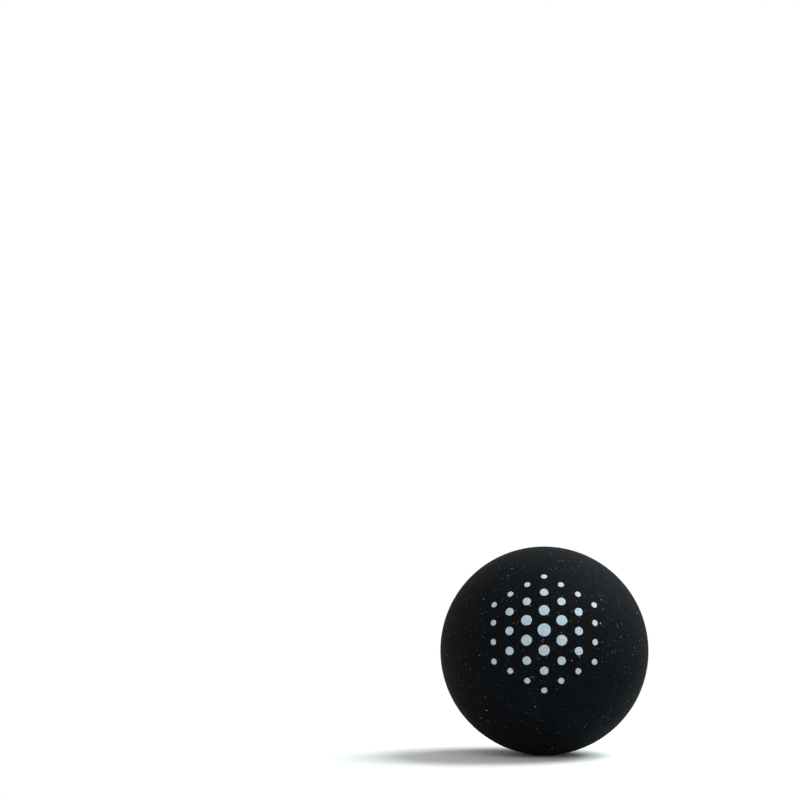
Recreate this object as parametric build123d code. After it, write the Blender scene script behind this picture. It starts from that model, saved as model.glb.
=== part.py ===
from build123d import *
import math
import os

# Squash ball: two moulded rubber half shells, the cement that bonds them and a printed stamp.
# Millimetres, +Z up. The origin is the centre of the ball. The seam lies in the XZ plane,
# so the half that carries the stamp faces -Y.

# Rubber shells
ball_diameter = 40.0
wall = 4.8

# Seam
bond_thickness = 0.2      # cured cement between the two joint faces
seam_edge_radius = 0.06   # buffed edge of each joint face, which leaves a hairline groove outside
bead_spread = 0.4         # how far the squeezed-out cement spreads each side of the bond inside

# Stamp: a hexagon of ink dots that shrink from the middle to the corners
ink_thickness = 0.03
stamp_rings = 3           # rings of dots around the middle dot
middle_dot_diameter = 2.5
corner_dot_diameter = 1.2
dot_gap = 1.3             # bare rubber between dots, were they all as large as the middle one
stamp_elevation = 14.0    # degrees that the stamp's middle lies above the ball's equator

# Values worked out from the sizes above
outer_radius = ball_diameter / 2
inner_radius = outer_radius - wall
bond_half = bond_thickness / 2
bead_radius = bond_half + bead_spread
dot_pitch = middle_dot_diameter + dot_gap


def arc_from_front(radius, angle):
    """An arc about the origin that starts on the -Y axis and turns by an angle towards +X."""
    return CenterArc((0, 0), radius, -90, angle)


def front_half_shell():
    """A hollow hemisphere on the -Y side, whose flat joint face stops half a bond short of the seam."""
    outside = arc_from_front(outer_radius, 90 - math.degrees(math.asin(bond_half / outer_radius)))
    inside = arc_from_front(inner_radius, 90 - math.degrees(math.asin(bond_half / inner_radius)))
    joint_face = Line(inside @ 1, outside @ 1)
    pole = Line(inside @ 0, outside @ 0)
    profile = make_face([outside, joint_face, inside, pole])
    seam_corner = profile.vertices().sort_by(Axis.X)[-1]
    return revolve(fillet(seam_corner, seam_edge_radius), Axis.Y, 360)


def rear_half_shell():
    """The same moulding turned round to face the front one."""
    return mirror(front_half_shell(), about=Plane.XZ)


def bond_ring():
    """A flat ring of cement over the whole joint face, with a rounded bead along its inner edge."""
    land_radius = math.sqrt(
        (outer_radius - seam_edge_radius) ** 2 - (bond_half + seam_edge_radius) ** 2
    )
    flat_start = inner_radius - bead_spread / 2
    flat_width = land_radius - flat_start
    flat = Pos(flat_start + flat_width / 2, 0) * Rectangle(flat_width, bond_thickness)
    bead = (Pos(inner_radius, 0) * Circle(bead_radius)) & Circle(inner_radius)
    return revolve(flat + bead, Axis.Y, 360)


def ink_dot(diameter):
    """A film of even thickness on the ball's surface, round the -Y axis."""
    spread = math.degrees(diameter / 2 / outer_radius)
    under = arc_from_front(outer_radius, spread)
    over = arc_from_front(outer_radius + ink_thickness, spread)
    rim = Line(under @ 1, over @ 1)
    middle = Line(under @ 0, over @ 0)
    return revolve(make_face([under, rim, over, middle]), Axis.Y, 360)


def ink_stamp():
    """Dots on a hexagonal lattice, with each dot's distance from the middle laid along the surface."""
    steps = range(-stamp_rings, stamp_rings + 1)
    dots = []
    for column in steps:
        for row in steps:
            ring = max(abs(column), abs(row), abs(column + row))
            if ring > stamp_rings:
                continue
            across = dot_pitch * row * math.sqrt(3) / 2
            up = dot_pitch * (column + row / 2)
            turn = math.degrees(math.hypot(across, up) / outer_radius)
            bearing = math.degrees(math.atan2(up, across))
            shrink = ring / stamp_rings
            diameter = middle_dot_diameter + (corner_dot_diameter - middle_dot_diameter) * shrink
            place = Rot(X=-stamp_elevation) * Rot(Y=-bearing) * Rot(Z=turn)
            dots.append(place * ink_dot(diameter))
    return Compound(children=dots)


pieces = {
    "front_half_shell": front_half_shell(),
    "rear_half_shell": rear_half_shell(),
    "bond_ring": bond_ring(),
    "ink_stamp": ink_stamp(),
}

os.makedirs("parts", exist_ok=True)
for name, piece in pieces.items():
    piece.label = name
    export_step(piece, f"parts/{name}.step")
    print(f"{name}: {len(piece.solids())} solids, {piece.volume:.2f} mm3")
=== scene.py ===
# %% [markdown]
# # A squash ball
# A squash ball is hollow. Two half shells are moulded from a filled butyl rubber, cemented edge to
# edge and cured. The whole outside is then buffed, which leaves it black, matt and faintly dusty, and
# a stamp is printed on one side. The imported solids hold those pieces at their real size. This lesson
# gives each of them a finer skin and its finish, and never moves or resizes one.

# %% Load the frame
import math

import bpy
import numpy as np
from mathutils import Matrix, Vector


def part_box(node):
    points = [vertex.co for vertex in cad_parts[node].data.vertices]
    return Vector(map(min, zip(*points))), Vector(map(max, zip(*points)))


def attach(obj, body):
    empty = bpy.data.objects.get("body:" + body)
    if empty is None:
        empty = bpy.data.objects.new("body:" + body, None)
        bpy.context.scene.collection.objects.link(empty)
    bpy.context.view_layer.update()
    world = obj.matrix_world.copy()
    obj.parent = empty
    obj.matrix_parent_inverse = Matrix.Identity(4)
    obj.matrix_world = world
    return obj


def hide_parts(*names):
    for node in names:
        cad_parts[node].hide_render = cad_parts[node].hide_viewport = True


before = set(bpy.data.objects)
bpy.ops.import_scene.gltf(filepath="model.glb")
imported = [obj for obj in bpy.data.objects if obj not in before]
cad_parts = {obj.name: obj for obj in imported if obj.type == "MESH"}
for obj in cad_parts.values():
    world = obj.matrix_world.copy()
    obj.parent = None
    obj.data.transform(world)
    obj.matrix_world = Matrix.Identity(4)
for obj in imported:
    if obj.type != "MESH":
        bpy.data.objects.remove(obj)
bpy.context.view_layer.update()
MM = 0.001  # one millimetre, in Blender's metres

# %% [markdown]
# ## Sizes read from the solids
# Typing a size in twice invites a mismatch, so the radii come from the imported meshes. Every corner of
# a half shell lies between two spheres about the origin. The farthest corners give the ball's radius
# and the nearest ones the cavity's. The bond's outer edge shows where the flat joint face ends, and
# the rounding of the seam's edge follows from that, because it touches both the sphere and the face.

# %% Measure the shells and the bond


def corner_distances(node):
    """How far each corner of a CAD node's mesh lies from the ball's centre, in metres."""
    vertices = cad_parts[node].data.vertices
    corners = np.empty(len(vertices) * 3, np.float32)
    vertices.foreach_get("co", corners)
    return np.linalg.norm(corners.reshape(-1, 3).astype(float), axis=1)


ball_radius = corner_distances("front_half_shell").max()
cavity_radius = corner_distances("front_half_shell").min()
bond_half = -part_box("front_half_shell")[1][1]
land_radius = math.sqrt(corner_distances("bond_ring").max() ** 2 - bond_half**2)
# land_radius^2 + (bond_half + r)^2 = (ball_radius - r)^2, solved for the rounding r
seam_rounding = (ball_radius**2 - land_radius**2 - bond_half**2) / (2 * (ball_radius + bond_half))
bead_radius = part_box("bond_ring")[1][1]
ink_film = -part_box("ink_stamp")[0][1] - ball_radius
sizes = {
    "ball radius": ball_radius,
    "cavity radius": cavity_radius,
    "bond thickness": 2 * bond_half,
    "seam rounding": seam_rounding,
    "bead radius": bead_radius,
    "ink film": ink_film,
}
for name, size in sizes.items():
    print(f"{name}: {size / MM:.3f} mm")

# %% [markdown]
# ## The camera
# The photograph is square, and the ball lies low and to the right of its middle. Shifting the lens
# could put it there, but turning the camera is what the photographer did, and it keeps the slight
# stretch that a round thing has away from the middle of a picture. That stretch, half a percent, gives
# the focal length. The ball's size in the picture then gives the distance.

# %% Place and aim the camera
photo_side = 800.0  # pixels
ball_in_photo = (544.2, 650.5)  # pixels from the left and from the top
outline_radius = 104.2  # pixels
lens = 120.0  # mm
sensor = 36.0  # mm
camera_elevation = math.radians(3.0)
nearest_shown = 10 * MM

# At an angle a from the camera's axis, the outline is stretched by 1 / cos(a)^2 outwards and by
# 1 / cos(a) across, so its mean radius grows by 1 / cos(a)^1.5.
focal_px = photo_side * lens / sensor
right_of_axis = (ball_in_photo[0] - photo_side / 2) / focal_px
below_axis = (ball_in_photo[1] - photo_side / 2) / focal_px
off_axis_cosine = 1 / math.sqrt(1 + right_of_axis**2 + below_axis**2)
camera_distance = focal_px * ball_radius / outline_radius / off_axis_cosine**1.5

# The line of sight to the ball runs along +Y and down by the elevation. This yaw and pitch, with no
# roll, put that line at the ball's place in the picture.
yaw = math.asin(-right_of_axis * off_axis_cosine / math.cos(camera_elevation))
sight_fall = math.atan2(math.sin(camera_elevation), math.cos(yaw) * math.cos(camera_elevation))
pitch = math.atan(below_axis) - sight_fall
forward = Vector((math.sin(yaw) * math.cos(pitch), math.cos(yaw) * math.cos(pitch), math.sin(pitch)))
to_right = Vector((math.cos(yaw), -math.sin(yaw), 0))
upward = to_right.cross(forward)
stand = Vector((0, -math.cos(camera_elevation), math.sin(camera_elevation))) * camera_distance

camera_data = bpy.data.cameras.new("photo_camera")
camera_data.lens = lens
camera_data.sensor_width = sensor
camera_data.clip_start = nearest_shown
camera = bpy.data.objects.new("photo_camera", camera_data)
turned = Matrix((to_right, upward, -forward)).transposed().to_4x4()
camera.matrix_world = Matrix.Translation(stand) @ turned
bpy.context.collection.objects.link(camera)
bpy.context.scene.camera = camera
print(f"camera {camera_distance / MM:.0f} mm away, pitched up {math.degrees(pitch):.2f} degrees")

# %% [markdown]
# ## Nodes and colours
# Every material below is a small graph of nodes. One function adds a node, sets its properties, fills
# its inputs and hands back one of its outputs: a socket among the inputs is linked, and anything else
# is set as a value. Colours are written as sRGB hex values, as a colour picker gives them, and Blender
# wants them linear.

# %% Helpers for materials
MIX_FACTOR, MIX_A, MIX_B, MIX_RESULT = 0, 6, 7, 2  # where a Mix node keeps its sockets for colours


def add_node(tree, kind, inputs=None, out=0, **settings):
    """Adds one node and returns its output of that name or number. Inputs are sockets or values."""
    node = tree.nodes.new(kind)
    for name, value in settings.items():
        setattr(node, name, value)
    for key, value in (inputs or {}).items():
        if isinstance(value, bpy.types.NodeSocket):
            tree.links.new(value, node.inputs[key])
        else:
            node.inputs[key].default_value = value
    return node.outputs[out] if node.outputs else None


def linear(hex_colour):
    """sRGB hex to linear RGBA: c / 12.92 up to 0.04045, and above it ((c + 0.055) / 1.055) ^ 2.4."""
    channels = np.array([int(hex_colour[i : i + 2], 16) for i in (1, 3, 5)]) / 255
    curve = np.where(channels <= 0.04045, channels / 12.92, ((channels + 0.055) / 1.055) ** 2.4)
    return (*curve.tolist(), 1.0)


def new_material(name):
    """A material that has no nodes yet, and its node tree."""
    material = bpy.data.materials.new(name)
    material.use_nodes = True
    material.node_tree.nodes.clear()
    return material, material.node_tree


white = linear("#ffffff")
print("white", white, "and middle grey", linear("#777777"))

# %% [markdown]
# ## Studio: background, floor and light
# The ball is near black, so what the eye reads is the light that glances off it: a broad, soft sheen
# at the upper right. A picture of a studio, wrapped round the scene, could light it, but two lamps in a
# white room are easier to aim. A large softbox up there, a little behind the ball, gives that sheen. A
# wide front light and the even light of the room do the rest, so that the pale ink is as bright as it
# is written. The background is white to the camera and in reflections. The floor near the ball is an
# ordinary lit surface, so it keeps the ball's shadow.

# %% Background
bpy.context.scene.view_settings.view_transform = "Standard"
room_light = 0.4  # brightness of the white room as a source of light


def seen_directly(tree):
    """1 for camera, mirror and glass rays, and 0 for the rays that carry light between surfaces."""
    camera_ray = add_node(tree, "ShaderNodeLightPath", out="Is Camera Ray")
    rays = camera_ray.node.outputs
    either = add_node(
        tree, "ShaderNodeMath", {0: camera_ray, 1: rays["Is Glossy Ray"]}, operation="MAXIMUM"
    )
    return add_node(
        tree, "ShaderNodeMath", {0: either, 1: rays["Is Transmission Ray"]}, operation="MAXIMUM"
    )


world = bpy.data.worlds.new("white_room")
bpy.context.scene.world = world
world.use_nodes = True
room = world.node_tree
room.nodes.clear()
strength = add_node(
    room, "ShaderNodeMapRange", {"Value": seen_directly(room), "To Min": room_light, "To Max": 1.0}
)
glow = add_node(room, "ShaderNodeBackground", {"Color": white, "Strength": strength})
add_node(room, "ShaderNodeOutputWorld", {"Surface": glow})
print("a white room that lights at", room_light)

# %% Floor
floor_half_side = 3.0  # metres
floor_fade = (35 * MM, 130 * MM)  # the lit floor turns to plain white between these distances
floor_white = "#f6f6f6"
floor_bounce = "#aaacaf"  # what the floor throws back onto the ball


def studio_floor():
    """Matt white near the ball, plain white far off, and grey for the light that it throws back."""
    material, tree = new_material("studio_floor")
    place = add_node(tree, "ShaderNodeTexCoord", out="Object")
    away = add_node(tree, "ShaderNodeVectorMath", {0: place}, out="Value", operation="LENGTH")
    fade = add_node(
        tree,
        "ShaderNodeMapRange",
        {"Value": away, "From Min": floor_fade[0], "From Max": floor_fade[1]},
        interpolation_type="SMOOTHSTEP",
    )
    lit = add_node(tree, "ShaderNodeBsdfDiffuse", {"Color": linear(floor_white)})
    plain = add_node(tree, "ShaderNodeEmission", {"Color": white, "Strength": 1.0})
    shown = add_node(tree, "ShaderNodeMixShader", {0: fade, 1: lit, 2: plain})
    bounce = add_node(tree, "ShaderNodeBsdfDiffuse", {"Color": linear(floor_bounce)})
    both = add_node(tree, "ShaderNodeMixShader", {0: seen_directly(tree), 1: bounce, 2: shown})
    add_node(tree, "ShaderNodeOutputMaterial", {"Surface": both})
    return material


floor_mesh = bpy.data.meshes.new("studio_floor")
floor_corners = np.array([(-1, -1, 0), (1, -1, 0), (1, 1, 0), (-1, 1, 0)]) * floor_half_side
floor_corners[:, 2] = -ball_radius
floor_mesh.from_pydata(floor_corners.tolist(), [], [(0, 1, 2, 3)])
floor_mesh.materials.append(studio_floor())
floor = bpy.data.objects.new("studio_floor", floor_mesh)
bpy.context.collection.objects.link(floor)
print(f"floor at {-ball_radius / MM:.2f} mm")

# %% Softboxes


def softbox(name, towards, distance, side, radiance, tint):
    """A square lamp that faces the ball, with its distance and side in metres.

    A radiance of 1 is as bright as the white background. A lamp sends its power into a half sphere,
    so power = radiance x pi x area.
    """
    data = bpy.data.lights.new(name, "AREA")
    data.shape = "SQUARE"
    data.size = side
    data.energy = radiance * math.pi * side**2
    data.color = linear(tint)[:3]
    lamp = bpy.data.objects.new(name, data)
    aim = Vector(towards).normalized()
    lamp.location = aim * distance
    lamp.rotation_mode = "QUATERNION"
    lamp.rotation_quaternion = aim.to_track_quat("Z", "Y")
    lamp.visible_camera = False
    bpy.context.collection.objects.link(lamp)
    print(f"{name}: {data.energy:.1f} W at {distance} m")


softbox(
    "key_softbox",
    towards=(0.64, 0.23, 0.88),
    distance=0.6,
    side=0.47,
    radiance=9.0,
    tint="#f0fafc",
)
softbox(
    "front_softbox",
    towards=(0.02, -0.80, 0.29),
    distance=1.0,
    side=1.0,
    radiance=1.75,
    tint="#fafcff",
)

# %% [markdown]
# ## Buffed rubber
# The shells are butyl rubber, black with carbon and loaded with a pale mineral filler. Buffing tears
# the moulded skin into a fine nap, so the gloss is weak and broad. The tips of the nap carry dust and
# are paler, and its pits are darker, which is painted shade in the nap's hollows. Buffing also lays
# grains of filler open, and dust clings to the nap, so the black is sprinkled with pale specks a few
# tenths of a millimetre across and a few short scuffs. A painted
# picture could hold the specks, but it would blur close up. Here they come from Voronoi cells in space
# with one angular grain at each cell's point. The skin is a slice through a solid full of grains, as
# the real one is, so no map is needed and no speck is stretched. Scuffs lie in the skin itself, so they
# are drawn on the shells' flat map. Along the seam, where the flash was ground off after bonding, a
# narrow band is a little dustier.

# %% Grains in the rubber
NOISE_MIDDLE = 0.5  # what a noise texture gives on average
NOISE_MOST = (0.35, 0.65)  # most of its values lie between these
NOISE_ALL = (0.3, 0.7)  # and nearly all between these
# Each kind of grain: spacing, smallest and largest radius, how much of its colour shows, and the colour
grain_kinds = (
    (1.50 * MM, 0.15 * MM, 0.30 * MM, 0.75, "#a9adae"),
    (0.85 * MM, 0.09 * MM, 0.20 * MM, 0.60, "#a5adb1"),
    (0.50 * MM, 0.05 * MM, 0.12 * MM, 0.50, "#aeaca6"),
)
grain_edge = 0.25  # share of the largest radius in which a grain thins out to nothing
grain_share = (0.28, 0.9)  # share of the cells that hold a grain, in thin clouds and in thick ones
faint_power = 2.0
ragged_size = 0.12 * MM  # the bumps in a grain's outline
ragged_reach = 0.15 * MM  # how far they are shaken, from end to end
ragged_detail = 1.0


def grain_layer(tree, place, spacing, smallest, largest, share, dimensions="3D"):
    """Grains scattered through the rubber, as two sockets: how far each covers, and how bright it is.

    Each Voronoi cell, one spacing wide, has a grain at its point, with a radius drawn between smallest
    and largest. Distances are sums along the axes, so a grain is a small octahedron and its slices are
    angular. In 2D it is a diamond on a flat map. The cover rises from 0 at the grain's edge to 1 within
    grain_edge of the largest radius. Only the cells whose draw is under share, a number or a socket,
    have a grain at all. The brightness is a draw to the power faint_power, so most grains are faint
    and a few stand out.
    """
    distance = add_node(
        tree,
        "ShaderNodeTexVoronoi",
        {"Vector": place, "Scale": 1 / spacing},
        distance="MANHATTAN",
        voronoi_dimensions=dimensions,
    )
    red = add_node(tree, "ShaderNodeSeparateColor", {"Color": distance.node.outputs["Color"]})
    green, blue = red.node.outputs["Green"], red.node.outputs["Blue"]
    radius = add_node(
        tree,
        "ShaderNodeMapRange",
        {"Value": red, "To Min": smallest / spacing, "To Max": largest / spacing},
    )
    inside = add_node(tree, "ShaderNodeMath", {0: radius, 1: distance}, operation="SUBTRACT")
    cover = add_node(
        tree,
        "ShaderNodeMapRange",
        {"Value": inside, "From Min": 0.0, "From Max": grain_edge * largest / spacing},
    )
    present = add_node(tree, "ShaderNodeMath", {0: green, 1: share}, operation="LESS_THAN")
    kept = add_node(tree, "ShaderNodeMath", {0: cover, 1: present}, operation="MULTIPLY")
    bright = add_node(tree, "ShaderNodeMath", {0: blue, 1: faint_power}, operation="POWER")
    return kept, bright


def rubber_grains(tree, place, clouds):
    """Every kind of grain, each as its cover, brightness, strength and colour.

    Space is shaken a little first, so that no two grains have the same outline. Grains lie thicker
    where the clouds do.
    """
    shaken = add_node(
        tree,
        "ShaderNodeTexNoise",
        {"Vector": place, "Scale": 1 / ragged_size, "Detail": ragged_detail},
        out="Color",
    )
    shift = add_node(
        tree, "ShaderNodeVectorMath", {0: shaken, 1: (NOISE_MIDDLE,) * 3}, operation="SUBTRACT"
    )
    uneven = add_node(
        tree,
        "ShaderNodeVectorMath",
        {0: shift, 1: (ragged_reach,) * 3, 2: place},
        operation="MULTIPLY_ADD",
    )
    share = add_node(
        tree,
        "ShaderNodeMapRange",
        {
            "Value": clouds,
            "From Min": NOISE_MOST[0],
            "From Max": NOISE_MOST[1],
            "To Min": grain_share[0],
            "To Max": grain_share[1],
        },
    )
    marks = []
    for spacing, smallest, largest, strength, tint in grain_kinds:
        cover, bright = grain_layer(tree, uneven, spacing, smallest, largest, share)
        marks.append((cover, bright, strength, tint))
    return marks


print(f"{len(grain_kinds)} kinds of grain, up to {2 * grain_kinds[0][2] / MM:.1f} mm across")

# %% Scuffs in the skin
outer_square = (0.01, 0.01, 0.86, 0.86)  # a shell's outside on its flat map: left, bottom, width, height
# The outside is a half sphere of area 2 pi R^2 that fills this square evenly, which gives the map's unit.
map_unit = math.sqrt(2 * math.pi) * ball_radius / outer_square[2]
scuff_colour = "#a7adb0"
scuff_strength = 0.36  # how much of the colour shows
scuff_share = 0.7  # share of the cells that hold a scuff
scuff_spacing = 3.0 * MM
scuff_widths = (0.096 * MM, 0.16 * MM)  # the narrowest and the widest
scuff_length = 1.5 * MM
scuff_turns = (0.5, 1.7, 2.6)  # radians on the flat map
scuff_bend = 2.0 * MM  # how far the clouds pull the scuffs out of line


def skin_scuffs(tree, beside, clouds):
    """Scuffs that run three ways, each way as its cover, brightness, strength and colour.

    A scuff is a grain of the flat map, stretched to its length along one direction.
    """
    # Both shells share the flat map. The pattern jumps a metre to either side of the seam, so that the
    # two don't have the same scuffs.
    flat = add_node(tree, "ShaderNodeTexCoord", out="UV")
    half = add_node(tree, "ShaderNodeMath", {0: beside}, operation="SIGN")
    jump = add_node(tree, "ShaderNodeCombineXYZ", {"X": half})
    on_map = add_node(
        tree,
        "ShaderNodeVectorMath",
        {0: flat, 1: (map_unit,) * 3, 2: jump},
        operation="MULTIPLY_ADD",
    )
    bent = add_node(
        tree,
        "ShaderNodeVectorMath",
        {0: clouds.node.outputs["Color"], 1: (scuff_bend,) * 3, 2: on_map},
        operation="MULTIPLY_ADD",
    )
    narrowest, widest = scuff_widths
    marks = []
    for turn in scuff_turns:
        stretched = add_node(
            tree,
            "ShaderNodeMapping",
            {"Vector": bent, "Rotation": (0, 0, turn), "Scale": (scuff_length / widest, 1, 1)},
            vector_type="TEXTURE",
        )
        cover, bright = grain_layer(
            tree, stretched, scuff_spacing, narrowest / 2, widest / 2, scuff_share, "2D"
        )
        marks.append((cover, bright, scuff_strength, scuff_colour))
    return marks


print(f"one unit of the flat map is {map_unit / MM:.1f} mm of skin")

# %% Material of the shells
rubber_deep = "#030506"
rubber_pale = "#121518"
rubber_roughness = (0.74, 0.82)
rubber_ior = 1.52
rubber_gloss = 0.032  # specular level: torn, dusty rubber has far less gloss than a smooth moulding
cloud_size = 6 * MM
cloud_noise = {"Scale": 1 / cloud_size, "Detail": 4.0, "Roughness": 0.6}
nap_size = 0.40 * MM  # its coarsest waves, with three finer octaves on them, down to 0.05 mm
nap_noise = {"Scale": 1 / nap_size, "Detail": 3.0, "Roughness": 0.7}
nap_height = 0.10 * MM
nap_dust_and_shade = 0.42  # how far the nap shifts the colour: dust pales its tips, and painted shade darkens its pits
grain_height = 0.015 * MM
ground_band = 1.6 * MM  # half the width of the band that is ground along the seam
ground_dust = 0.18  # how much dustier that band is


def buffed_rubber():
    """Black butyl rubber, moulded and buffed: cloudy black, weak broad gloss, pale grains and scuffs."""
    material, tree = new_material("buffed_butyl_rubber")
    place = add_node(tree, "ShaderNodeTexCoord", out="Object")
    clouds = add_node(tree, "ShaderNodeTexNoise", {"Vector": place, **cloud_noise})
    nap = add_node(tree, "ShaderNodeTexNoise", {"Vector": place, **nap_noise})
    # Tips of the nap are paler with dust. Its pits are darker, and that is painted shade in the hollows.
    nap_dust_and_pit_shade = add_node(
        tree,
        "ShaderNodeMapRange",
        {
            "Value": nap,
            "From Min": NOISE_MOST[0],
            "From Max": NOISE_MOST[1],
            "To Min": -nap_dust_and_shade,
            "To Max": nap_dust_and_shade,
        },
    )
    beside = add_node(tree, "ShaderNodeSeparateXYZ", {"Vector": place}, out="Y")
    from_seam = add_node(tree, "ShaderNodeMath", {0: beside}, operation="ABSOLUTE")
    ground = add_node(
        tree,
        "ShaderNodeMapRange",
        {"Value": from_seam, "From Max": ground_band, "To Min": ground_dust, "To Max": 0.0},
        interpolation_type="SMOOTHSTEP",
    )
    clouded = add_node(tree, "ShaderNodeMath", {0: clouds, 1: ground}, operation="ADD")
    # The colour mixes the random clouds, the dustier seam band and the nap, whose dark pits are painted
    # shade.
    rubber_dust_and_pit_shade = add_node(tree, "ShaderNodeMath", {0: clouded, 1: nap_dust_and_pit_shade}, operation="ADD", use_clamp=True)
    colour = add_node(
        tree,
        "ShaderNodeMix",
        {MIX_FACTOR: rubber_dust_and_pit_shade, MIX_A: linear(rubber_deep), MIX_B: linear(rubber_pale)},
        out=MIX_RESULT,
        data_type="RGBA",
    )

    grains = rubber_grains(tree, place, clouds)
    for cover, bright, strength, tint in grains + skin_scuffs(tree, beside, clouds):
        shade = add_node(tree, "ShaderNodeMath", {0: cover, 1: bright}, operation="MULTIPLY")
        amount = add_node(tree, "ShaderNodeMath", {0: shade, 1: strength}, operation="MULTIPLY")
        colour = add_node(
            tree,
            "ShaderNodeMix",
            {MIX_FACTOR: amount, MIX_A: colour, MIX_B: linear(tint)},
            out=MIX_RESULT,
            data_type="RGBA",
        )

    # The relief is the nap and, on it, the largest grains. It is in metres, so Bump takes it as it is.
    nap_relief = add_node(tree, "ShaderNodeMath", {0: nap, 1: nap_height}, operation="MULTIPLY")
    largest_cover = grains[0][0]
    relief = add_node(
        tree,
        "ShaderNodeMath",
        {0: largest_cover, 1: grain_height, 2: nap_relief},
        operation="MULTIPLY_ADD",
    )
    normal = add_node(tree, "ShaderNodeBump", {"Strength": 1.0, "Distance": 1.0, "Height": relief})
    rough = add_node(
        tree,
        "ShaderNodeMapRange",
        {
            "Value": clouds,
            "From Min": NOISE_ALL[0],
            "From Max": NOISE_ALL[1],
            "To Min": rubber_roughness[0],
            "To Max": rubber_roughness[1],
        },
    )
    skin = add_node(
        tree,
        "ShaderNodeBsdfPrincipled",
        {
            "Base Color": colour,
            "Roughness": rough,
            "Normal": normal,
            "IOR": rubber_ior,
            "Specular IOR Level": rubber_gloss,
        },
    )
    add_node(tree, "ShaderNodeOutputMaterial", {"Surface": skin})
    return material


rubber = buffed_rubber()
print("material", rubber.name, "with", len(rubber.node_tree.nodes), "nodes")

# %% [markdown]
# ## Half shells
# A globe's usual net of longitude and latitude crowds at the pole, and here a pole faces the camera.
# Instead a square grid is rounded into a disc, and the disc is folded into a half sphere by the map
# that keeps areas equal. Every cell then has the same area, there is no pole, and the same square
# serves as an even UV map. Three grids close one shell: the outside, a strip over the seam's edge and
# the joint face, and the wall of the cavity. Buffing is done by hand against a wheel, so the outside
# gets a waviness of a few hundredths of a millimetre, always inwards.

# %% Maps from a square to a half sphere


def square_to_disc(across, up):
    """A square of half side 1 becomes a disc of radius 1.

    The larger coordinate becomes the distance from the middle. The smaller one, as a share of the
    larger, becomes an angle of up to an eighth of a turn to either side.
    """
    wide = np.abs(across) > np.abs(up)
    reach = np.where(wide, across, up)
    share = np.where(wide, up, across) / np.where(reach == 0, 1, reach)
    angle = np.where(wide, share * np.pi / 4, np.pi / 2 - share * np.pi / 4)
    return reach * np.cos(angle), reach * np.sin(angle)


def disc_to_cap(x, y, widest):
    """A disc of radius 1 becomes the unit sphere's cap within the angle widest of the -Y pole.

    Areas stay in proportion: at distance t from the middle of the disc, the angle a from the pole
    has sin(a / 2) = t sin(widest / 2).
    """
    t = np.hypot(x, y)
    angle = 2 * np.arcsin(t * np.sin(widest / 2))
    spread = np.sin(angle) / np.where(t == 0, 1, t)
    return np.stack([x * spread, -np.cos(angle), y * spread], axis=-1)


print("the middle of the square goes to", disc_to_cap(*square_to_disc(0.0, 0.0), np.pi / 2).tolist())

# %% Waviness of the buffed outside
wave_depth = 0.03 * MM
wave_lengths = np.geomspace(1.6, 7.0, 40) * MM
wave_seed = 3
wave_cut = 2  # a height is cut off at this many times its usual size
calm_band = (0.3 * MM, 1.8 * MM)  # distances from the seam where the waviness begins and is whole


def random_waves(points, wavelengths, seed):
    """A smooth random height between 0 and 1: cosine waves in random directions, added up.

    The sum of n waves is usually within the root of n / 2. It is cut off at wave_cut times that, and
    what is left between the two cuts becomes 0 to 1.
    """
    rng = np.random.default_rng(seed)
    aims = rng.normal(size=(3, len(wavelengths)))
    aims *= 2 * np.pi / wavelengths / np.linalg.norm(aims, axis=0)
    phases = rng.uniform(0, 2 * np.pi, len(wavelengths))
    height = np.cos(points @ aims + phases).sum(axis=-1) / math.sqrt(len(wavelengths) / 2)
    return (np.clip(height, -wave_cut, wave_cut) + wave_cut) / (2 * wave_cut)


def outside_radius(directions):
    """The buffed outside: the ball's radius less a waviness between nothing and wave_depth.

    It fades out towards the seam, where the two halves meet, by the smooth step s^2 (3 - 2 s).
    """
    waves = random_waves(directions * ball_radius, wave_lengths, wave_seed)
    from_seam = np.abs(directions[..., 1]) * ball_radius
    s = np.clip((from_seam - calm_band[0]) / (calm_band[1] - calm_band[0]), 0, 1)
    return ball_radius - wave_depth * waves * s**2 * (3 - 2 * s)


print("waviness from", wave_lengths[0] / MM, "to", round(wave_lengths[-1] / MM, 1), "mm long")

# %% Cells of a grid


def grid_quads(grid):
    """The four corners of each cell of a grid, anticlockwise with columns to the right and rows up."""
    return np.stack([grid[:-1, :-1], grid[:-1, 1:], grid[1:, 1:], grid[1:, :-1]], axis=2)


def split_towards_middle(cells):
    """Turns some cells of a square grid by one corner, so that all are split towards its middle.

    A cell is drawn as two triangles, split from its first corner to its third. In the lower right and
    upper left quarters the split would run past the square's corner, where the rounded rim is straight,
    and leave a sliver there.
    """
    half = len(cells) // 2
    turned = cells.copy()
    turned[:half, half:] = np.roll(cells[:half, half:], 1, axis=2)
    turned[half:, :half] = np.roll(cells[half:, :half], 1, axis=2)
    return turned


def rim_loop(grid):
    """The corners round the edge of a square grid, anticlockwise from the lower left, and back to it."""
    return np.concatenate([grid[0, :-1], grid[:-1, -1], grid[-1, :0:-1], grid[:0:-1, 0], grid[:1, 0]])


print("a cell with 0 and 1 below 2 and 3:", grid_quads(np.arange(4).reshape(2, 2)).ravel().tolist())

# %% A skin for a CAD node
crease_angle = math.radians(40)  # an edge that turns by more than this stays sharp


def dress_node(node, corners, faces, material, uv=None):
    """Makes a smooth mesh piece that stands for a CAD node and moves with the ball."""
    mesh = bpy.data.meshes.new(node + "_skin")
    mesh.from_pydata(corners.tolist(), [], faces)
    if uv is not None:
        mesh.uv_layers.new(name="OFBake").uv.foreach_set("vector", uv.astype(np.float32).ravel())
    mesh.shade_smooth()
    mesh.set_sharp_from_angle(angle=crease_angle)
    mesh.materials.append(material)
    piece = bpy.data.objects.new(node + "_skin", mesh)
    bpy.context.collection.objects.link(piece)
    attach(piece, "root")
    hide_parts(node)
    print(f"{piece.name}: {len(mesh.vertices)} corners, {len(mesh.polygons)} faces")
    return piece


print("nodes to dress:", ", ".join(sorted(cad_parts)))

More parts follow.
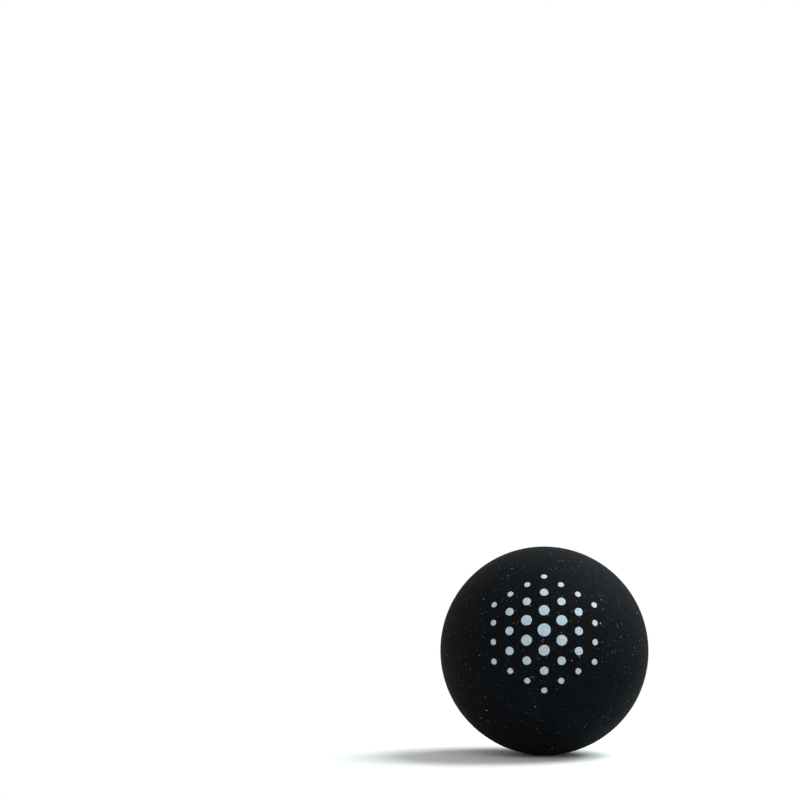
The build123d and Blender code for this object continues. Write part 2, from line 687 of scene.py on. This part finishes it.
# %% The two half shells
shell_cells = 192  # cells along each side of a shell's square grids
rounding_steps = 6
joint_face_steps = 4
cavity_square = (0.89, 0.01, 0.10, 0.10)  # left, bottom, width and height on the flat map
strip_place = (0.01, 0.90, 0.98, 0.06)


def seam_profile(rim_angle, cavity_angle):
    """Distances from the Y axis, and y, along the way from the outside's rim to the cavity's.

    The way is an arc of the seam's rounding, then straight across the joint face. Its two ends are
    left out, because the outside and the cavity already have them.
    """
    arc = np.linspace(rim_angle - np.pi / 2, np.pi / 2, rounding_steps + 1)[1:]
    face = np.linspace(land_radius, cavity_radius * math.sin(cavity_angle), joint_face_steps + 1)[1:-1]
    reach = np.concatenate([land_radius + seam_rounding * np.cos(arc), face])
    y = np.full(len(reach), -bond_half)
    y[:rounding_steps] -= seam_rounding * (1 - np.sin(arc))
    return reach, y


def half_shell(node, side):
    """One half shell. The side is 1 for the half on the -Y side and -1 for the half turned to +Y.

    The outside and the cavity wall are caps of spheres. The seam's profile, carried round the Y axis,
    joins their rims.
    """
    steps = np.linspace(-1, 1, shell_cells + 1)
    across, up = np.meshgrid(steps, steps)
    half_turn = np.array([side, side, 1])
    # The rounding touches the sphere on the line from the ball's centre through the rounding's own.
    rim_angle = math.acos((bond_half + seam_rounding) / (ball_radius - seam_rounding))
    outward = disc_to_cap(*square_to_disc(across, up), rim_angle) * half_turn
    outside = outward * outside_radius(outward)[..., None]
    cavity_angle = math.acos(bond_half / cavity_radius)
    cavity = disc_to_cap(*square_to_disc(across, up), cavity_angle) * half_turn * cavity_radius

    reach, y = seam_profile(rim_angle, cavity_angle)
    round_rim = rim_loop(outward)[:-1] * (1, 0, 1)
    round_rim /= np.linalg.norm(round_rim, axis=1)[:, None]
    edge = round_rim * reach[:, None, None] + np.array([0, side, 0]) * y[:, None, None]

    corners = np.concatenate([part.reshape(-1, 3) for part in (outside, cavity, edge)])
    outside_grid = np.arange(outside.size // 3).reshape(across.shape)
    cavity_grid = outside_grid + outside_grid.size
    edge_grid = np.arange(edge.size // 3).reshape(edge.shape[:2]) + 2 * outside_grid.size
    edge_grid = np.concatenate([edge_grid, edge_grid[:, :1]], axis=1)
    strip_grid = np.concatenate(
        [rim_loop(cavity_grid)[None], edge_grid[::-1], rim_loop(outside_grid)[None]]
    )

    square_uv = np.stack([across + 1, up + 1], axis=-1) / 2
    strip_uv = np.stack(
        np.meshgrid(np.linspace(0, 1, strip_grid.shape[1]), np.linspace(0, 1, len(strip_grid))), axis=-1
    )
    square_spots = split_towards_middle(grid_quads(square_uv))
    outside_cells = split_towards_middle(grid_quads(outside_grid))
    cavity_cells = split_towards_middle(grid_quads(cavity_grid))
    facing_in = [0, 3, 2, 1]  # the same corners the other way round
    faces, uv = [], []
    for cells, spots, place in (
        (outside_cells, square_spots, outer_square),
        (grid_quads(strip_grid), grid_quads(strip_uv), strip_place),
        (cavity_cells[:, :, facing_in], square_spots[:, :, facing_in], cavity_square),
    ):
        faces += cells.reshape(-1, 4).tolist()
        uv.append((np.array(place[:2]) + spots * np.array(place[2:])).reshape(-1, 2))
    return dress_node(node, corners, faces, rubber, np.concatenate(uv))


half_shell("front_half_shell", 1)
half_shell("rear_half_shell", -1)

# %% [markdown]
# ## Bond
# Rubber cement fills the joint from the groove outside to a bead that was squeezed into the cavity.
# Almost none of it shows, but the ring is a piece of its own. Its profile, a flat web with a round bead
# on its inner end, is carried round a circle. A Screw modifier could turn the profile too, but the ring
# would then be the same all the way round, and the seam would look like a ruled hairline. Here the
# cement lies unevenly deep in the groove, as squeezed-out cement does after buffing, and buffing dust
# has settled on it in places.

# %% Material of the bond
cement_black = "#050506"
cement_dust = "#24282b"
dust_range = (0.5, 0.8)  # the clouds where dust begins to show, and where it hides the cement
cement_roughness = (0.6, 0.9)
cement_cloud = 1.2 * MM
cement_noise = {"Scale": 1 / cement_cloud, "Detail": 3.0}
cement_relief = 0.03 * MM


def cured_cement():
    """Rubber cement, cured: a black film, as matt as the rubber beside it, with dust on it in places."""
    material, tree = new_material("cured_rubber_cement")
    place = add_node(tree, "ShaderNodeTexCoord", out="Object")
    clouds = add_node(tree, "ShaderNodeTexNoise", {"Vector": place, **cement_noise})
    dust = add_node(
        tree,
        "ShaderNodeMapRange",
        {"Value": clouds, "From Min": dust_range[0], "From Max": dust_range[1]},
    )
    colour = add_node(
        tree,
        "ShaderNodeMix",
        {MIX_FACTOR: dust, MIX_A: linear(cement_black), MIX_B: linear(cement_dust)},
        out=MIX_RESULT,
        data_type="RGBA",
    )
    relief = add_node(tree, "ShaderNodeMath", {0: clouds, 1: cement_relief}, operation="MULTIPLY")
    normal = add_node(tree, "ShaderNodeBump", {"Strength": 1.0, "Distance": 1.0, "Height": relief})
    rough = add_node(
        tree,
        "ShaderNodeMapRange",
        {"Value": clouds, "To Min": cement_roughness[0], "To Max": cement_roughness[1]},
    )
    film = add_node(
        tree,
        "ShaderNodeBsdfPrincipled",
        {
            "Base Color": colour,
            "Roughness": rough,
            "Normal": normal,
            "IOR": rubber_ior,
            "Specular IOR Level": rubber_gloss,
        },
    )
    add_node(tree, "ShaderNodeOutputMaterial", {"Surface": film})
    return material


cement = cured_cement()
print("material", cement.name, "with", len(cement.node_tree.nodes), "nodes")

# %% Ring of the bond
ring_steps = 720  # round the ring
web_steps = 5
wall_steps = 2
bead_steps = 13
edge_wander = 0.07 * MM  # how much deeper the cement lies in the groove at its deepest
edge_waves = np.geomspace(0.8, 6.0, 24) * MM
edge_seed = 5


def bond_ring():
    """The profile (distance from the Y axis, y) carried once round the Y axis.

    The web is two straight lines at half the bond's thickness. The bead is an arc of bead_radius about
    the point where the web meets the cavity, and stops where that circle meets the cavity's sphere.
    """
    web = np.linspace(land_radius, math.sqrt(cavity_radius**2 - bond_half**2), web_steps + 1)
    bead_meets = 2 * math.asin(bead_radius / cavity_radius / 2)  # the angle whose chord is bead_radius
    wall = np.linspace(math.asin(bond_half / cavity_radius), bead_meets, wall_steps + 1)[1:]
    bead = np.linspace(-1, 1, bead_steps + 1)[1:-1] * (np.pi / 2 - bead_meets / 2)
    lower = np.stack([web, np.full(len(web), -bond_half)], axis=1)
    lower_wall = cavity_radius * np.stack([np.cos(wall), -np.sin(wall)], axis=1)
    round_bead = (cavity_radius, 0) + bead_radius * np.stack([-np.cos(bead), np.sin(bead)], axis=1)
    mirrored = np.concatenate([lower, lower_wall])[::-1] * (1, -1)
    profile = np.concatenate([lower, lower_wall, round_bead, mirrored])

    angle = np.linspace(0, 2 * np.pi, ring_steps, endpoint=False)
    circle = np.stack([np.cos(angle), np.zeros(ring_steps), np.sin(angle)], axis=1)
    reach = np.broadcast_to(profile[:, :1], (len(profile), ring_steps)).copy()
    reach[[0, -1]] -= edge_wander * random_waves(circle * land_radius, edge_waves, edge_seed)
    corners = circle * reach[..., None] + np.array([0, 1, 0]) * profile[:, 1, None, None]
    grid = np.arange(reach.size).reshape(reach.shape)
    grid = np.pad(grid, ((0, 1), (0, 1)), mode="wrap")
    faces = grid_quads(grid).reshape(-1, 4).tolist()
    return dress_node("bond_ring", corners.reshape(-1, 3), faces, cement)


bond_ring()

# %% [markdown]
# ## Stamp
# The stamp is one film of pale ink, pad-printed as a hexagon of dots that shrink towards its corners.
# A texture could draw it, but real ink stands a little proud and catches the light at its edge, so each
# dot is a thin closed cushion that follows the waviness of the rubber under it. A dot is a polar grid
# about its own pole. Its rim wanders a little, as ink does on a nap.

# %% Material of the stamp
ink_deep = "#99abb8"
ink_pale = "#bfced6"
ink_hole = "#4c545b"
ink_roughness = (0.55, 0.75)
ink_ior = 1.5
ink_gloss = 0.25  # specular level: half of a smooth film's, because the nap shows through
ink_mottle = 0.30 * MM
mottle_noise = {"Scale": 1 / ink_mottle, "Detail": 3.0, "Roughness": 0.6}
ink_relief = 0.005 * MM
pinholes = {"spacing": 0.45 * MM, "smallest": 0.05 * MM, "largest": 0.13 * MM, "share": 0.7}


def printing_ink():
    """Pad-printing ink, white thinned over black: matt pale blue-grey, mottled, with pinholes."""
    material, tree = new_material("pad_printing_ink")
    place = add_node(tree, "ShaderNodeTexCoord", out="Object")
    mottle = add_node(tree, "ShaderNodeTexNoise", {"Vector": place, **mottle_noise})
    even = add_node(
        tree,
        "ShaderNodeMapRange",
        {"Value": mottle, "From Min": NOISE_ALL[0], "From Max": NOISE_ALL[1]},
    )
    colour = add_node(
        tree,
        "ShaderNodeMix",
        {MIX_FACTOR: even, MIX_A: linear(ink_deep), MIX_B: linear(ink_pale)},
        out=MIX_RESULT,
        data_type="RGBA",
    )
    cover, bright = grain_layer(tree, place, **pinholes)
    hole = add_node(tree, "ShaderNodeMath", {0: cover, 1: bright}, operation="MULTIPLY")
    colour = add_node(
        tree,
        "ShaderNodeMix",
        {MIX_FACTOR: hole, MIX_A: colour, MIX_B: linear(ink_hole)},
        out=MIX_RESULT,
        data_type="RGBA",
    )
    relief = add_node(tree, "ShaderNodeMath", {0: mottle, 1: ink_relief}, operation="MULTIPLY")
    normal = add_node(tree, "ShaderNodeBump", {"Strength": 1.0, "Distance": 1.0, "Height": relief})
    rough = add_node(
        tree,
        "ShaderNodeMapRange",
        {"Value": mottle, "To Min": ink_roughness[0], "To Max": ink_roughness[1]},
    )
    film = add_node(
        tree,
        "ShaderNodeBsdfPrincipled",
        {
            "Base Color": colour,
            "Roughness": rough,
            "Normal": normal,
            "IOR": ink_ior,
            "Specular IOR Level": ink_gloss,
        },
    )
    add_node(tree, "ShaderNodeOutputMaterial", {"Surface": film})
    return material


ink = printing_ink()
print("material", ink.name, "with", len(ink.node_tree.nodes), "nodes")

# %% Places of the dots
stamp_rings = 3  # rings of dots about the middle one
middle_dot = 2.5 * MM  # across, as the solids have it
corner_dot = 1.2 * MM
dot_pitch = 3.8 * MM
stamp_elevation = math.radians(14.0)


def stamp_poles():
    """The middle of each dot, as a direction from the ball's centre, and each dot's radius.

    A dot's place on a flat hexagonal lattice gives a bearing and a distance from the stamp's middle.
    The distance is laid along the surface, and the whole is tilted up by the stamp's elevation.
    """
    steps = np.arange(-stamp_rings, stamp_rings + 1)
    column, row = (axis.ravel() for axis in np.meshgrid(steps, steps))
    ring = np.maximum(np.maximum(np.abs(column), np.abs(row)), np.abs(column + row))
    printed = ring <= stamp_rings
    column, row, ring = column[printed], row[printed], ring[printed]
    across = dot_pitch * row * math.sqrt(3) / 2
    up = dot_pitch * (column + row / 2)
    turn = np.hypot(across, up) / ball_radius
    bearing = np.arctan2(up, across)
    level = np.stack(
        [np.sin(turn) * np.cos(bearing), -np.cos(turn), np.sin(turn) * np.sin(bearing)], axis=1
    )
    poles = level @ np.array(Matrix.Rotation(-stamp_elevation, 3, "X")).T
    return poles, (middle_dot + (corner_dot - middle_dot) * ring / stamp_rings) / 2


poles, radii = stamp_poles()
print(f"{len(poles)} dots, {2 * radii.min() / MM:.1f} to {2 * radii.max() / MM:.1f} mm across")

# %% Dots of the stamp
dot_steps = 96  # corners round a dot
dot_rings = np.array([1.0, 0.98, 0.93, 0.84, 0.7, 0.5, 0.25])  # shares of its radius, close at the rim
film_power = 6  # the higher, the flatter the film and the tighter its round edge
ink_rooted = 0.01 * MM  # how far the film reaches into the rubber, so that no gap shows under it
rim_wander = 0.065 * MM
rim_waves = (2, 26)  # waves in one turn round the rim
rim_swing = 2  # what the waves, added up, rarely pass to either side
rim_seed = 11


def ink_stamp():
    """Every dot as a closed polar grid: a profile of (share of the radius, share of the film).

    At a share r of the radius the film's height is the root of 1 - r^film_power. A point lies at an
    angle a from the dot's pole p, on a bearing b made of two directions t and s along the surface:
    p cos(a) + (t cos(b) + s sin(b)) sin(a).
    """
    count = len(poles)
    sideways = np.cross((0, 0, 1), poles)
    sideways /= np.linalg.norm(sideways, axis=1)[:, None]
    upwards = np.cross(poles, sideways)
    bearing = np.linspace(0, 2 * np.pi, dot_steps, endpoint=False)

    rng = np.random.default_rng(rim_seed)
    waves = np.arange(*rim_waves)[:, None]
    phases = rng.uniform(0, 2 * np.pi, (count, len(waves), 1))
    wander = (np.cos(waves * bearing + phases) / np.sqrt(waves)).sum(axis=1)
    rim = radii[:, None] - rim_wander * (1 - wander / rim_swing) / 2

    top = np.stack([dot_rings, np.sqrt(1 - dot_rings**film_power)], axis=1)
    under_rings = dot_rings[::-3]
    under = np.stack([under_rings, np.full(len(under_rings), -ink_rooted / ink_film)], axis=1)
    profile = np.concatenate([under, top])
    angle = profile[:, 0, None] * rim[:, None] / ball_radius
    along = sideways[:, None] * np.cos(bearing)[:, None] + upwards[:, None] * np.sin(bearing)[:, None]
    aims = poles[:, None, None] * np.cos(angle)[..., None] + along[:, None] * np.sin(angle)[..., None]
    film = aims * (outside_radius(aims) + ink_film * profile[:, 1, None])[..., None]
    middles = outside_radius(poles) + np.array([[-ink_rooted], [ink_film]])
    corners = np.concatenate([film.reshape(-1, 3), (poles * middles[..., None]).reshape(-1, 3)])

    rings = np.arange(film.size // 3).reshape(film.shape[:3])
    rings = np.concatenate([rings, rings[..., :1]], axis=2)
    below, above = np.arange(2 * count).reshape(2, count, 1) + film.size // 3
    faces = np.moveaxis(grid_quads(np.moveaxis(rings, 0, 2)), 3, 0).reshape(-1, 4).tolist()
    lid = np.stack(np.broadcast_arrays(rings[:, -1, :-1], rings[:, -1, 1:], above), axis=-1)
    base = np.stack(np.broadcast_arrays(rings[:, 0, 1:], rings[:, 0, :-1], below), axis=-1)
    faces += np.concatenate([lid, base]).reshape(-1, 3).tolist()
    return dress_node("ink_stamp", corners, faces, ink)


ink_stamp()
